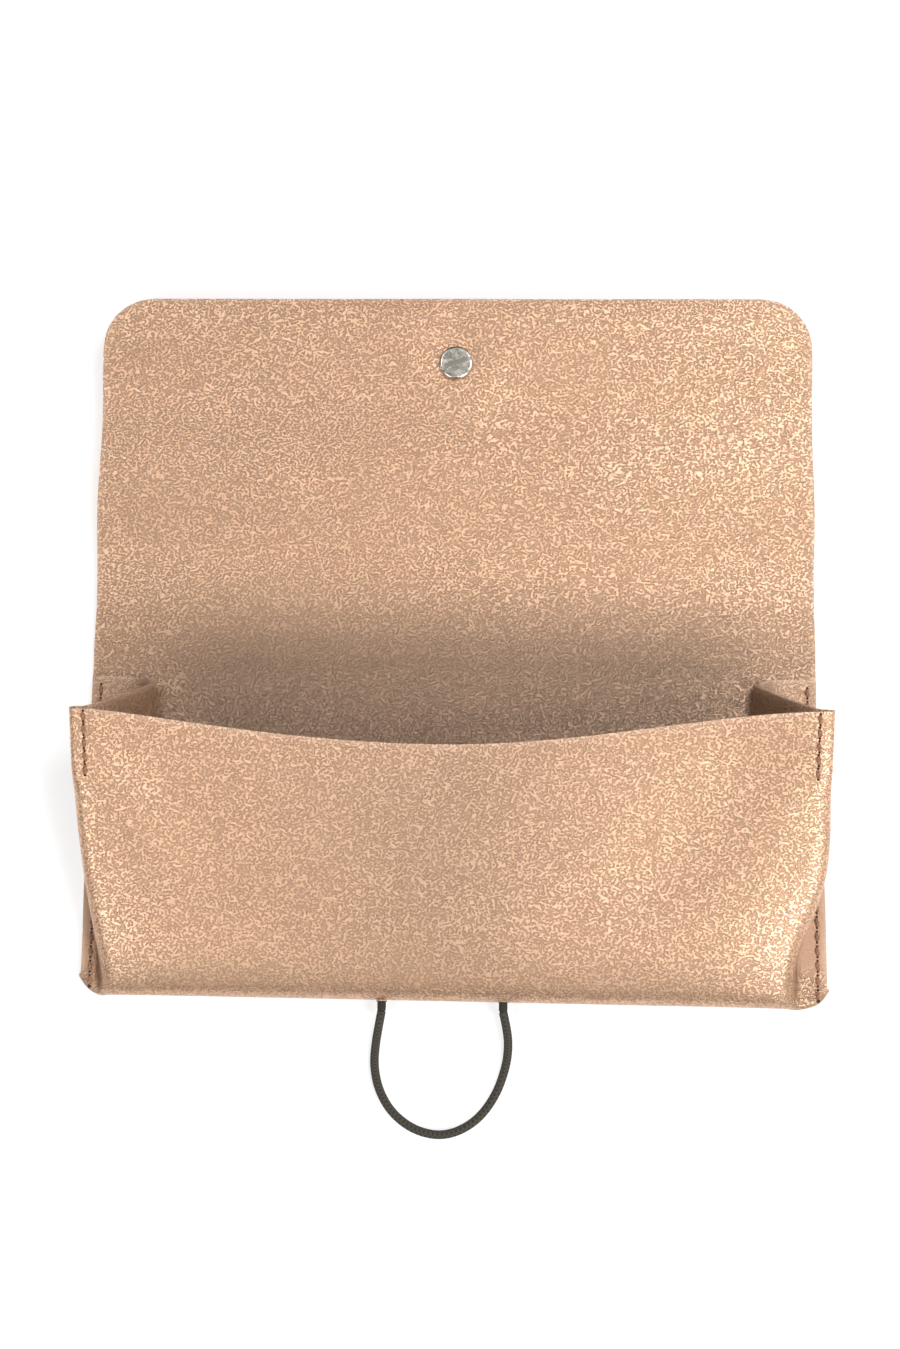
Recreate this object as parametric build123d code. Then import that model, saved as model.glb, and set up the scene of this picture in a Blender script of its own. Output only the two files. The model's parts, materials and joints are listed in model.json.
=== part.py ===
from build123d import *
from math import asin, atan2, cos, degrees, hypot, radians, sin, sqrt, tan
import os

# Soft pouch glasses case, lying on its back with the flap laid open, in millimetres.
# X runs across the case, +Y from the folded base to the flap's free edge, +Z out of the back.
# The origin is the middle of the back panel's outer face.

# Leather
LEATHER_T = 1.3          # thickness of the bonded leather
POUCH_W = 172.0          # width of the back, the flap and the mouth
BACK_H = 73.5            # flat height of the back panel
BACK_CORNER_R = 7.0      # lower corners of the back panel
FLAP_L = 93.0            # from the flap's fold to its free edge
FLAP_CORNER_R = 12.0     # free corners of the flap
FRONT_H = 64.0           # slope length of the front at its sides
SCOOP_D = 8.5            # how far the front's top edge dips in the middle
BASE_INSET = 6.0         # how far each end of the folded base stands in from the sides
SIDE_CURVE_H = 34.0      # slope length over which the front widens from the base
FOLD_INNER_R = 2.6       # inside radius of the folded base
MOUTH_ANGLE = 17.0       # slope of the front, open, to the back
FOLD_GAP = 0.3           # gap left at a fold line between two bodies

# Gussets
GUSSET_DEPTH = 14.0      # how far the crease stands in at the mouth
GUSSET_BASE_DEPTH = 2.0  # how far it stands in at the base
GUSSET_X_T = 2.0         # wall of the gusset along X
GUSSET_INSET = 3.2       # seam margin outside the gusset on the back panel
GUSSET_BASE_Y = 3.0      # clear height between the base line and the gusset
CREASE_BACK = 5.0        # how far the crease's top end stands below the fold line
REST_GAP = 0.1           # gap between faces that lie on each other

# Stud
STUD_EDGE = 16.0         # stud axis to the flap's free edge
STUD_H = 6.0             # knob height under the flap
FLANGE_R = 4.2
FLANGE_T = 0.9
NECK_R = 1.9
BALL_R = 3.1
BALL_FLAT = 0.5          # flat ground off the ball's end
SCREW_R = 1.45           # screw shank
SCREW_IN = 3.2           # depth of the shank in the knob
HEAD_R = 4.1
HEAD_T = 1.2
HEAD_ROUND = 0.6
SLOT_W = 1.1
SLOT_D = 0.5
SLOT_ANGLE = 19.0
FIT = 0.05               # radial clearance of a pin in its hole

# Flap in use
CLOSED_LEAN = 98.0       # direction of the flap's bridge when closed, from +Y
CLOSED_GAP = 2.2         # inner face of the closed flap to the front's face

# Elastic
ELASTIC_D = 2.0
EXIT_SPACING = 28.0
EXIT_OFFSET = -1.4       # the two holes are this far off the middle
KNOT_R = 1.8
HINGE_OUT = 1.25         # elastic bends this far outside the base
BEND_GAP = 1.05          # clear length at that bend

# Stitching
THREAD_D = 0.7
STITCH_L = 2.3
STITCH_PITCH = 3.35
FRONT_STITCHES = 5
SEAM_INSET = 1.5         # back seam line to the edge
FRONT_SEAM_INSET = 2.2
FRONT_SEAM_TOP = 2.0     # first stitch's end below the front's top corner
BACK_SEAM_LOW = 5.0      # lowest stitch above the base line
BACK_SEAM_HIGH = 3.0     # last stitch below the fold line

# Worked out
HALF_W = POUCH_W / 2
BASE_W = POUCH_W - 2 * BASE_INSET
BASE_Y = -BACK_H / 2
FOLD_Y = BACK_H / 2
FOLD_OUTER_R = FOLD_INNER_R + LEATHER_T
FOLD_CENTRE = Vector(0, BASE_Y, FOLD_OUTER_R)
SLOPE = radians(MOUTH_ANGLE)
UP_SLOPE = Vector(0, cos(SLOPE), sin(SLOPE))
FRONT_NORMAL = Vector(0, -sin(SLOPE), cos(SLOPE))
BALL_Z = STUD_H + BALL_FLAT - BALL_R
STUD_V = FLAP_L - STUD_EDGE
FLAT_R = sqrt(BALL_R ** 2 - (BALL_R - BALL_FLAT) ** 2)

# The open flap slopes up just enough for the knob under it to reach the ground.
reach = STUD_V - FLAT_R
depth = LEATHER_T + STUD_H
FLAP_SLOPE = degrees(atan2(depth, reach) - asin(LEATHER_T / hypot(reach, depth)))

# The bridge spans the open mouth, so that the closed flap lies along the front.
mouth = BACK_H * sin(SLOPE) + (FOLD_OUTER_R - LEATHER_T) * cos(SLOPE) + FOLD_OUTER_R + CLOSED_GAP
BRIDGE_L = mouth / sin(radians(CLOSED_LEAN - MOUTH_ANGLE))
FOLD_TURN = CLOSED_LEAN - FLAP_SLOPE
BEND_TURN = 180 + MOUTH_ANGLE - CLOSED_LEAN

FRONT_PLANE = Plane(origin=FOLD_CENTRE + FRONT_NORMAL * FOLD_INNER_R, x_dir=(1, 0, 0), z_dir=FRONT_NORMAL)
FLAP_PLANE = Plane(origin=(0, FOLD_Y, LEATHER_T), x_dir=(1, 0, 0),
                   z_dir=(0, -sin(radians(FLAP_SLOPE)), cos(radians(FLAP_SLOPE))))

# Route of the loop lying on the ground, as (x, distance past the bend, z). Its two ends meet the bend.
ELASTIC_R = ELASTIC_D / 2
LOOP_Y = BASE_Y - FOLD_OUTER_R - HINGE_OUT
LOOP_ROUTE = [
    (EXIT_OFFSET - EXIT_SPACING / 2, BEND_GAP, FOLD_OUTER_R),
    (-16.1, 4.7, 3.1),
    (-16.8, 8.7, 1.6),
    (-17.1, 13.3, ELASTIC_R),
    (-15.9, 18.9, ELASTIC_R),
    (-12.6, 24.3, ELASTIC_R),
    (-7.0, 28.2, ELASTIC_R),
    (-0.2, 29.2, ELASTIC_R),
    (6.4, 26.0, ELASTIC_R),
    (10.9, 20.2, ELASTIC_R),
    (13.3, 13.5, ELASTIC_R),
    (13.9, 8.7, 1.6),
    (13.5, 4.7, 3.1),
    (EXIT_OFFSET + EXIT_SPACING / 2, BEND_GAP, FOLD_OUTER_R),
]


def back_panel():
    """Flat back with rounded lower corners."""
    plate = Pos(0, 0, LEATHER_T / 2) * Box(POUCH_W, BACK_H, LEATHER_T)
    low = plate.edges().filter_by(Axis.Z).group_by(Axis.Y)[0]
    return fillet(low, BACK_CORNER_R)


def base_fold():
    """Half round turn from the back to the front, with two holes for the elastic."""
    turn = 180 - MOUTH_ANGLE
    outer = CenterArc((0, 0), FOLD_OUTER_R, 90 + MOUTH_ANGLE, turn)
    inner = CenterArc((0, 0), FOLD_INNER_R, 90 + MOUTH_ANGLE, turn)
    ring = make_face([outer, Line(outer @ 1, inner @ 1), inner, Line(inner @ 0, outer @ 0)])
    fold = extrude(Plane.YZ * ring, BASE_W / 2, both=True)
    fold = Pos(FOLD_CENTRE) * fold
    for x in exits():
        hole = Pos(x, BASE_Y - FOLD_OUTER_R, FOLD_OUTER_R) * Rot(90, 0, 0)
        fold -= hole * Cylinder(ELASTIC_R + FIT, FOLD_OUTER_R)
    return fold


def front_outline():
    """Outline of the front in its own plane, from the base to the scooped top."""
    foot = BASE_W / 2
    bottom = Line((-foot, FOLD_GAP), (foot, FOLD_GAP))
    right = TangentArc((HALF_W, SIDE_CURVE_H), (foot, FOLD_GAP), tangent=(0, -1))
    left = TangentArc((-HALF_W, SIDE_CURVE_H), (-foot, FOLD_GAP), tangent=(0, -1))
    right_side = Line((HALF_W, SIDE_CURVE_H), (HALF_W, FRONT_H))
    left_side = Line((-HALF_W, SIDE_CURVE_H), (-HALF_W, FRONT_H))
    scoop = ThreePointArc((HALF_W, FRONT_H), (0, FRONT_H - SCOOP_D), (-HALF_W, FRONT_H))
    return make_face([bottom, right, right_side, scoop, left_side, left])


def front_panel():
    """Sloping front, standing over the back from the base fold."""
    return extrude(FRONT_PLANE * front_outline(), LEATHER_T)


def gusset_section(x, low, crease, high, depth):
    """Closed outline of the folded side wall between a low, a crease and a high point."""
    inner = [(x, *low), (x - depth, *crease), (x, *high)]
    outer = [(px + GUSSET_X_T, py, pz) for px, py, pz in reversed(inner)]
    return make_face(Polyline(*inner, *outer, close=True))


def gusset(side):
    """Side wall folded inwards in a V, from the base to the mouth."""
    under = FRONT_PLANE.offset(-REST_GAP)
    low_front = under.from_local_coords((0, GUSSET_BASE_Y, 0))
    top_front = under.from_local_coords((0, FRONT_H - REST_GAP, 0))
    floor = LEATHER_T + REST_GAP
    low_x = BASE_W / 2 - GUSSET_X_T
    top_x = HALF_W - GUSSET_INSET - GUSSET_X_T
    low_y = low_front.Y
    crease_low = (low_y, (floor + low_front.Z) / 2)
    base = gusset_section(low_x, (low_y, floor), crease_low, (low_y, low_front.Z), GUSSET_BASE_DEPTH)
    # The crease's top end lies in the plane of the two top corners, so the section stays flat.
    rise = (top_front.Z - floor) / (top_front.Y - FOLD_Y)
    crease_top = (FOLD_Y - CREASE_BACK, floor - rise * CREASE_BACK)
    mouth_section = gusset_section(top_x, (FOLD_Y, floor), crease_top,
                                   (top_front.Y, top_front.Z), GUSSET_DEPTH)
    wall = loft([base, mouth_section], ruled=True)
    return wall if side > 0 else mirror(wall, Plane.YZ)


def flap_piece(start, end, corner_r):
    """Stretch of the flap between two distances from its fold line, lying in the flap's plane."""
    length = end - start
    plate = Pos(0, start + length / 2, -LEATHER_T / 2) * Box(POUCH_W, length, LEATHER_T)
    if corner_r:
        plate = fillet(plate.edges().filter_by(Axis.Z).group_by(Axis.Y)[-1], corner_r)
    return plate


def flap_bridge():
    """Stretch of the flap that crosses the mouth when the case is closed."""
    return FLAP_PLANE * flap_piece(FOLD_GAP, BRIDGE_L - FOLD_GAP / 2, 0)


def flap_panel():
    """Stretch of the flap that covers the front, with the hole for the stud's screw."""
    plate = flap_piece(BRIDGE_L + FOLD_GAP / 2, FLAP_L, FLAP_CORNER_R)
    plate -= Pos(0, STUD_V, -LEATHER_T / 2) * Cylinder(SCREW_R + FIT, 2 * LEATHER_T)
    return FLAP_PLANE * plate


def stud_screw():
    """Slotted screw, its head on the flap's inner face and its shank down into the knob."""
    head = Pos(0, 0, HEAD_T / 2) * Cylinder(HEAD_R, HEAD_T)
    head = fillet(head.edges().group_by(Axis.Z)[-1], HEAD_ROUND)
    slot = Pos(0, 0, HEAD_T - SLOT_D / 2) * Rot(0, 0, SLOT_ANGLE) * Box(3 * HEAD_R, SLOT_W, SLOT_D)
    length = LEATHER_T + SCREW_IN
    shank = Pos(0, 0, -length / 2) * Cylinder(SCREW_R, length)
    return FLAP_PLANE * Pos(0, STUD_V, 0) * (head - slot + shank)


def stud_button():
    """Round knob on a flange, bored for the screw, under the flap."""
    flange = Pos(0, 0, FLANGE_T / 2) * Cylinder(FLANGE_R, FLANGE_T)
    neck = Pos(0, 0, BALL_Z / 2) * Cylinder(NECK_R, BALL_Z)
    ball = Pos(0, 0, BALL_Z) * Sphere(BALL_R)
    ball &= Pos(0, 0, STUD_H / 2) * Box(4 * BALL_R, 4 * BALL_R, STUD_H)
    bore_d = SCREW_IN + 4 * FIT
    bore = Pos(0, 0, bore_d / 2) * Cylinder(SCREW_R + FIT, bore_d)
    knob = flange + neck + ball - bore
    return FLAP_PLANE * Pos(0, STUD_V, -LEATHER_T) * Rot(180, 0, 0) * knob


def exits():
    """X of the two holes that the elastic comes out of."""
    return [EXIT_OFFSET - EXIT_SPACING / 2, EXIT_OFFSET + EXIT_SPACING / 2]


def corner_radius(before, corner, after):
    """Largest arc that leaves a short straight on both runs at a corner of a route."""
    turn = radians((corner - before).get_angle(after - corner))
    shorter = min((corner - before).length, (after - corner).length)
    return 0.45 * shorter / tan(turn / 2)


def elastic_loop():
    """Loop of round elastic lying on the ground below the base."""
    points = [Vector(x, LOOP_Y - out, z) for x, out, z in LOOP_ROUTE]
    radii = [corner_radius(*points[i - 1:i + 2]) for i in range(1, len(points) - 1)]
    path = FilletPolyline(*points, radius=radii)
    section = Plane(origin=points[0], z_dir=points[1] - points[0]) * Circle(ELASTIC_R)
    tube = sweep(section, path=path)
    print("loop radii", [round(r, 1) for r in radii])
    print("loop length", round(path.length, 2), "volume share",
          round(tube.volume / (path.length * section.area), 4))
    return tube


def elastic_knots():
    """Knotted ends of the elastic inside the base, each with its stub through the wall."""
    length = FOLD_OUTER_R + HINGE_OUT
    knots = []
    for x in exits():
        stub = Pos(x, BASE_Y - length / 2, FOLD_OUTER_R) * Rot(90, 0, 0)
        knots.append(stub * Cylinder(ELASTIC_R, length) + Pos(x, BASE_Y, FOLD_OUTER_R) * Sphere(KNOT_R))
    return Compound(children=knots)


def stitch():
    """One stitch lying along Y on a face at z = 0."""
    return Pos(0, 0, THREAD_D / 2 + FIT) * Rot(90, 0, 0) * Cylinder(THREAD_D / 2, STITCH_L)


def front_threads(side):
    """Stitches that pinch the front's top corner."""
    face = FRONT_PLANE.offset(LEATHER_T)
    first = FRONT_H - FRONT_SEAM_TOP - STITCH_L / 2
    x = side * (HALF_W - FRONT_SEAM_INSET)
    return Compound(children=[face * Pos(x, first - i * STITCH_PITCH, 0) * stitch()
                              for i in range(FRONT_STITCHES)])


def back_threads(side):
    """Stitches along the back panel's side edge."""
    run = BACK_H - BACK_SEAM_LOW - BACK_SEAM_HIGH - STITCH_L
    count = int(run / STITCH_PITCH) + 1
    first = FOLD_Y - BACK_SEAM_HIGH - STITCH_L / 2
    x = side * (HALF_W - SEAM_INSET)
    return Compound(children=[Pos(x, first - i * STITCH_PITCH, LEATHER_T) * stitch()
                              for i in range(count)])


def build():
    """Every node of the case, by name."""
    return {
        "back_panel": back_panel(),
        "base_fold": base_fold(),
        "front_panel": front_panel(),
        "gusset_left": gusset(-1),
        "gusset_right": gusset(1),
        "flap_bridge": flap_bridge(),
        "flap_panel": flap_panel(),
        "stud_screw": stud_screw(),
        "stud_button": stud_button(),
        "elastic_loop": elastic_loop(),
        "elastic_knots": elastic_knots(),
        "thread_front_left": front_threads(-1),
        "thread_front_right": front_threads(1),
        "thread_back_left": back_threads(-1),
        "thread_back_right": back_threads(1),
    }


os.makedirs("parts", exist_ok=True)
for name, shape in build().items():
    export_step(shape, f"parts/{name}.step")
bridge_end = FLAP_PLANE.from_local_coords((0, BRIDGE_L, 0))
print("flap slope", round(FLAP_SLOPE, 3), "bridge length", round(BRIDGE_L, 3))
print("fold turn", round(FOLD_TURN, 2), "bend turn", round(BEND_TURN, 2))
print("bend axis", [round(c, 4) for c in bridge_end])
print("mouth axis", [round(c, 4) for c in FOLD_CENTRE], "loop axis", LOOP_Y, FOLD_OUTER_R)
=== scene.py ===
import json
import math
import random

import bmesh
import bpy
from bpy.props import FloatProperty, FloatVectorProperty, IntProperty, PointerProperty
from mathutils import Euler, Matrix, Vector, noise
from mathutils.bvhtree import BVHTree
from mathutils.kdtree import KDTree


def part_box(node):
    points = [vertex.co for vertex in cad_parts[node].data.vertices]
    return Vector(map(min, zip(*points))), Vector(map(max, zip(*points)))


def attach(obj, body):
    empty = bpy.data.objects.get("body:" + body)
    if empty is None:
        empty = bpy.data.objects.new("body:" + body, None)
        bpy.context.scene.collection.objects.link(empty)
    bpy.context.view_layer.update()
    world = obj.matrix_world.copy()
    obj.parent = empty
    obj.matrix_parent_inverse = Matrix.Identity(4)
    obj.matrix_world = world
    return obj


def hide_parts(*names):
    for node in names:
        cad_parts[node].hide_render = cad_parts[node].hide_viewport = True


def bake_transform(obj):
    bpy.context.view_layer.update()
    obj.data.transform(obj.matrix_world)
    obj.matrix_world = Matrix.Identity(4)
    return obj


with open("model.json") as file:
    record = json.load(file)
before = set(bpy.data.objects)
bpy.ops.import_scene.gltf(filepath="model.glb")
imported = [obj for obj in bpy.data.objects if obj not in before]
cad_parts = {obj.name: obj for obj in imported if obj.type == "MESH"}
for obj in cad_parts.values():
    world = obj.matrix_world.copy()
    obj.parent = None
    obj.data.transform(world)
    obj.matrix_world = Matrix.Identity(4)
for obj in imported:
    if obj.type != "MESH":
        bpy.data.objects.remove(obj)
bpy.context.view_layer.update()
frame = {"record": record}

bl_info = {
    "name": "Soft pouch glasses case",
    "version": (1, 0, 0),
    "blender": (4, 5, 0),
    "location": "3D View > Sidebar > Case",
    "description": "Makes a soft leather pouch for glasses around its packed frame",
    "category": "Add Mesh",
}

MM = 0.001


def frame_mm(node):
    """Lowest and highest corner of a node, in millimetres."""
    low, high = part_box(node)
    return Vector(low) / MM, Vector(high) / MM


def joint_mm(name):
    """A joint's place, in millimetres."""
    joints = frame["record"]["behaviour"]["joints"]
    return next(Vector(j["pos_m"]) / MM for j in joints if j["name"] == name)


BACK_LOW, BACK_HIGH = frame_mm("back_panel")
FLAP_HIGH = frame_mm("flap_panel")[1]
SCREW_LOW, SCREW_HIGH = frame_mm("stud_screw")
MOUTH_AXIS = joint_mm("mouth")
BEND_AXIS = joint_mm("flap_bend")
LOOP_AXIS = joint_mm("loop_swing")
T = BACK_HIGH.z - BACK_LOW.z          # thickness of the leather
BASE_Y, FOLD_Y, HALF_W = BACK_LOW.y, BACK_HIGH.y, BACK_HIGH.x
TURN_R = MOUTH_AXIS.z - T / 2         # radius of the base fold's middle layer
SLOPE = math.radians(17.0)            # of the front above the back
# Slope of the open flap, which its stud holds off the ground, and lengths measured along it.
FLAP_RISE = math.asin((BEND_AXIS.z - T) / math.hypot(BEND_AXIS.y - FOLD_Y, BEND_AXIS.z - T))
FLAP_LENGTH = (FLAP_HIGH.y - FOLD_Y) / math.cos(FLAP_RISE)
SCREW_V = ((SCREW_LOW.y + SCREW_HIGH.y) / 2 - FOLD_Y) / math.cos(FLAP_RISE)
FRONT_TOP = 64.0             # slope length of the front at its sides
SEAM_Z = 1.5 * T             # middle of the gusset's leather where it lies on the back
HEAD_RADIUS = 4.1            # of the screw
JOIN_IN = 8.0                # the flap's leather starts this far inside its fold line
JOIN_OUT = 15.0              # and its two pieces meet this far past it


# Sizes and colours

class CaseSizes(bpy.types.PropertyGroup):
    """Sizes that may be changed without moving what the frame holds."""
    scoop: FloatProperty(name="Scoop", description="Dip of the front's top edge, in millimetres",
                         default=7.4)
    sag: FloatProperty(name="Sag", description="How far the front sinks in its middle, in millimetres",
                       default=3.8)
    bulge: FloatProperty(name="Bulge", description="Fullness of the front above its base, in millimetres",
                         default=2.2)
    wave: FloatProperty(name="Flap wave", description="Height of the flap's soft waves, in millimetres",
                        default=0.6)
    corner: FloatProperty(name="Flap corner", description="Radius of the flap's corners, in millimetres",
                          default=12.0)
    detail: IntProperty(name="Detail", description="Subdivision of the leather", default=2, min=1, max=3)
    thread: FloatProperty(name="Thread", description="Diameter of the thread", default=0.00105, unit="LENGTH")
    grain: FloatProperty(name="Grain", description="Grain lines in a metre", default=2000.0)


class CaseColours(bpy.types.PropertyGroup):
    """Colours of the case's finishes."""
    foil: FloatVectorProperty(name="Foil", description="Raised grain", subtype="COLOR", size=3,
                              default=(0.90, 0.575, 0.375))
    valley: FloatVectorProperty(name="Valley", description="Foil between the grain", subtype="COLOR", size=3,
                                default=(0.50, 0.285, 0.170))
    raw_edge: FloatVectorProperty(name="Cut edge", description="Raw leather", subtype="COLOR", size=3,
                                  default=(0.62, 0.36, 0.19))
    thread: FloatVectorProperty(name="Thread", description="Sewing thread", subtype="COLOR", size=3,
                                default=(0.25, 0.112, 0.058))
    elastic: FloatVectorProperty(name="Elastic", description="Round elastic", subtype="COLOR", size=3,
                                 default=(0.058, 0.050, 0.040))
    nickel: FloatVectorProperty(name="Nickel", description="Plated stud", subtype="COLOR", size=3,
                                default=(0.68, 0.63, 0.56))


# Small tools

def smooth(low, high, x):
    """0 below low, 1 above high, and a soft step between."""
    t = max(0.0, min(1.0, (x - low) / (high - low)))
    return t * t * (3 - 2 * t)


def mix(a, b, t):
    """From a to b by the share t."""
    return a + (b - a) * t


def new_object(name, bm, materials):
    """Links a bmesh as an object at the origin."""
    mesh = bpy.data.meshes.new(name)
    bm.to_mesh(mesh)
    bm.free()
    obj = bpy.data.objects.new(name, mesh)
    bpy.context.scene.collection.objects.link(obj)
    for material in materials:
        mesh.materials.append(material)
    return obj


def shade(obj, degrees):
    """Smooth shading with sharp edges past an angle."""
    obj.data.shade_smooth()
    obj.data.set_sharp_from_angle(angle=math.radians(degrees))


def bake_modifiers(obj):
    """Gives the object its finished mesh and takes its modifiers away."""
    deps = bpy.context.evaluated_depsgraph_get()
    mesh = bpy.data.meshes.new_from_object(obj.evaluated_get(deps), preserve_all_data_layers=True,
                                           depsgraph=deps)
    obj.modifiers.clear()
    old = obj.data
    obj.data = mesh
    mesh.name = obj.name
    bpy.data.meshes.remove(old)


def face_outwards(obj):
    """Turns every face of a closed mesh outwards."""
    bm = bmesh.new()
    bm.from_mesh(obj.data)
    bmesh.ops.recalc_face_normals(bm, faces=bm.faces)
    bm.to_mesh(obj.data)
    bm.free()


def surface_of(obj):
    """Search tree of an object's mesh."""
    bm = bmesh.new()
    bm.from_mesh(obj.data)
    tree = BVHTree.FromBMesh(bm)
    bm.free()
    return tree


# Materials

class Nodes:
    """A material's node tree, built one node at a time."""

    def __init__(self, name):
        self.material = bpy.data.materials.new(name)
        self.material.use_nodes = True
        self.tree = self.material.node_tree
        self.shader = self.tree.nodes["Principled BSDF"]

    def add(self, kind, links=None, **values):
        """Adds a node, sets its properties and fills its inputs."""
        node = self.tree.nodes.new(kind)
        for key, value in values.items():
            setattr(node, key, value)
        for key, value in (links or {}).items():
            socket = node.inputs[key]
            if isinstance(value, bpy.types.NodeSocket):
                self.tree.links.new(value, socket)
            else:
                socket.default_value = value
        return node

    def coordinates(self, scale=(1, 1, 1), turn=(0, 0, 0), source="Object"):
        place = self.add("ShaderNodeTexCoord")
        return self.add("ShaderNodeMapping", {"Vector": place.outputs[source], "Scale": scale,
                                              "Rotation": turn}).outputs["Vector"]

    def noise(self, vector, scale, detail=2.0, rough=0.5, distortion=0.0):
        return self.add("ShaderNodeTexNoise", {"Vector": vector, "Scale": scale, "Detail": detail,
                                               "Roughness": rough, "Distortion": distortion}).outputs["Fac"]

    def ramp(self, value, low, high, out_low=0.0, out_high=1.0):
        return self.add("ShaderNodeMapRange", {"Value": value, "From Min": low, "From Max": high,
                                               "To Min": out_low, "To Max": out_high},
                        interpolation_type="SMOOTHSTEP").outputs["Result"]

    def math(self, kind, a, b=0.0):
        return self.add("ShaderNodeMath", {0: a, 1: b}, operation=kind).outputs["Value"]

    def blend(self, share, a, b):
        """Colour a where share is 0 and b where it is 1."""
        node = self.add("ShaderNodeMix", data_type="RGBA")
        for index, value in ((0, share), (6, a), (7, b)):
            if isinstance(value, bpy.types.NodeSocket):
                self.tree.links.new(value, node.inputs[index])
            else:
                node.inputs[index].default_value = value
        return node.outputs[2]

    def bump(self, height, distance, strength, normal=None):
        links = {"Height": height, "Distance": distance, "Strength": strength}
        if normal is not None:
            links["Normal"] = normal
        return self.add("ShaderNodeBump", links).outputs["Normal"]

    def finish(self, colour, roughness, normal, **constants):
        self.tree.links.new(colour, self.shader.inputs["Base Color"])
        self.tree.links.new(roughness, self.shader.inputs["Roughness"])
        self.tree.links.new(normal, self.shader.inputs["Normal"])
        for key, value in constants.items():
            self.shader.inputs[key.replace("_", " ")].default_value = value
        return self.material


def rgba(colour):
    return (*colour, 1.0)


def foil_leather():
    """Metallic foil over fine worm-like grain, softer where the gussets stretch it, with painted shade in the
    pocket and on the front.
    """
    colours, sizes = bpy.context.scene.case_colours, bpy.context.scene.case_sizes
    n = Nodes("foil_leather")
    spot = n.coordinates(scale=(0.92, 1.06, 1.0), turn=(0, 0, 0.5))
    worms = n.noise(spot, sizes.grain, detail=0.6, rough=0.4, distortion=0.35)
    ridge = n.ramp(worms, 0.40, 0.58)
    pores = n.noise(spot, sizes.grain * 2.7, detail=2.0, rough=0.6)
    patches = n.noise(n.coordinates(), 26.0, detail=3.0, rough=0.5)
    stretch = n.add("ShaderNodeAttribute", attribute_name="stretch").outputs["Fac"]
    wear = n.add("ShaderNodeAttribute", attribute_name="edge_wear").outputs["Fac"]
    relief = n.math("MULTIPLY", ridge, n.ramp(stretch, 0.0, 1.0, 1.0, 0.18))
    height = n.math("ADD", relief, n.math("MULTIPLY", pores, 0.25))
    colour = n.blend(n.ramp(relief, 0.0, 1.0, 0.1, 1.0), rgba(colours.valley), rgba(colours.foil))
    darker = tuple(c * k for c, k in zip(colours.foil, (0.80, 0.74, 0.70)))
    colour = n.blend(n.ramp(patches, 0.34, 0.68, 0.24, 0.0), colour, rgba(darker))
    # Painted shade: the pocket, the front's base and its middle are darkened towards a third of the foil
    # colour.
    painted_shade_share = n.add("ShaderNodeAttribute", attribute_name="patina").outputs["Fac"]
    colour = n.blend(n.math("MULTIPLY", painted_shade_share, 0.92), colour, rgba(tuple(c * 0.33 for c in colours.foil)))
    lighter = tuple(mix(c, 1.0, 0.22) for c in colours.foil)
    colour = n.blend(n.math("MULTIPLY", wear, n.ramp(pores, 0.35, 0.62, 0.1, 0.5)), colour, rgba(lighter))
    rough = n.math("ADD", n.ramp(relief, 0.0, 1.0, 0.42, 0.30), n.math("MULTIPLY", wear, 0.10))
    normal = n.bump(height, 0.00020, 1.0)
    return n.finish(colour, rough, normal, Metallic=0.70, Coat_Weight=0.32, Coat_Roughness=0.36)


def raw_leather_edge():
    """Cut edge of the leather, with its fibres showing."""
    colours = bpy.context.scene.case_colours
    n = Nodes("raw_leather_edge")
    fibres = n.noise(n.coordinates(scale=(1, 1, 2.5)), 1400.0, detail=3.0, rough=0.65)
    bands = n.noise(n.coordinates(), 120.0, detail=2.0)
    dark = tuple(c * 0.62 for c in colours.raw_edge)
    light = tuple(mix(c, 1.0, 0.18) for c in colours.raw_edge)
    colour = n.blend(n.ramp(fibres, 0.35, 0.65), rgba(dark), rgba(light))
    colour = n.blend(n.ramp(bands, 0.4, 0.7, 0.0, 0.25), colour, rgba(colours.foil))
    rough = n.ramp(fibres, 0.3, 0.7, 0.62, 0.85)
    return n.finish(colour, rough, n.bump(fibres, 0.00012, 0.7), Metallic=0.0)


def sewing_thread():
    colours = bpy.context.scene.case_colours
    n = Nodes("sewing_thread")
    twist = n.add("ShaderNodeTexWave", {"Vector": n.coordinates(turn=(0.3, 0.5, 0.9)), "Scale": 520.0,
                                        "Distortion": 1.2, "Detail": 1.0}).outputs["Fac"]
    fuzz = n.noise(n.coordinates(), 2600.0, detail=2.0)
    light = tuple(min(1.0, c * 1.6) for c in colours.thread)
    colour = n.blend(n.ramp(twist, 0.3, 0.8), rgba(colours.thread), rgba(light))
    rough = n.ramp(fuzz, 0.3, 0.7, 0.6, 0.8)
    return n.finish(colour, rough, n.bump(n.math("ADD", twist, fuzz), 0.00012, 0.8), Sheen_Weight=0.3)


# Painted shade: near-black blobs stand in for the shade inside the needle holes.
def needle_hole_shade():
    n = Nodes("needle_hole_shade")
    spots = n.noise(n.coordinates(), 1500.0)
    colour = n.blend(spots, (0.035, 0.015, 0.008, 1), (0.09, 0.04, 0.02, 1))
    rough = n.ramp(spots, 0.3, 0.7, 0.8, 0.95)
    return n.finish(colour, rough, n.bump(spots, 0.0001, 0.5))


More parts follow.
